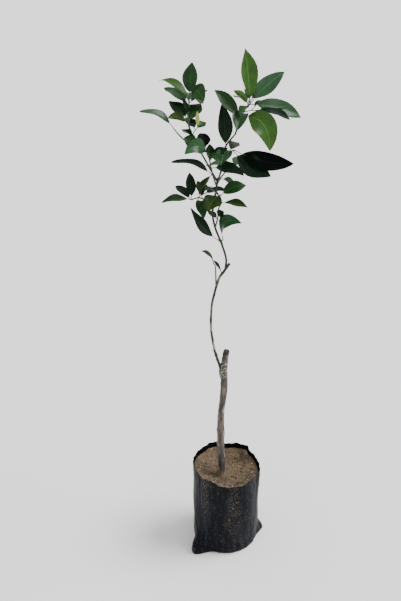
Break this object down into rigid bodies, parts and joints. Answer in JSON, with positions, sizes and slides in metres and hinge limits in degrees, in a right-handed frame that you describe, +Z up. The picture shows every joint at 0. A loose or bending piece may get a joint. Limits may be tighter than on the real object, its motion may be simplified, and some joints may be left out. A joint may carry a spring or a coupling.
{
  "type": "potted fukumoto navel orange tree",
  "caption": "Young grafted navel orange tree with a thin curved stem and a sparse leafy crown, growing in soil in a black film grow bag.",
  "frame": {"origin": "centre of the bag's flat underside", "axes": "+Z up along the tree, -Y towards the side that the picture shows, +X to the right in the picture"},
  "size_m": [0.3195, 0.2326, 1.2147],
  "materials": {
    "film": "satin black film with dust",
    "earth": "matte crumbly soil",
    "rootstock_bark": "matte bark",
    "green_bark": "matte young bark",
    "leaves": "glossy leaf"
  },
  "bodies": {
    "root": {"grow_bag": "film", "soil": "earth", "rootstock_trunk": "rootstock_bark", "scion_stem": "green_bark", "leader": "green_bark", "left_bough": "green_bark", "right_bough": "green_bark", "upper_right_foliage": "leaves", "upper_left_foliage": "leaves", "left_tip_leaf": "leaves", "centre_foliage": "leaves", "right_foliage": "leaves", "left_foliage": "leaves", "shoot_foliage": "leaves", "low_left_leaf": "leaves", "low_right_leaf": "leaves", "side_shoot": "leaves", "stem_leaf": "leaves", "back_foliage": "leaves"}
  },
  "joints": []
}
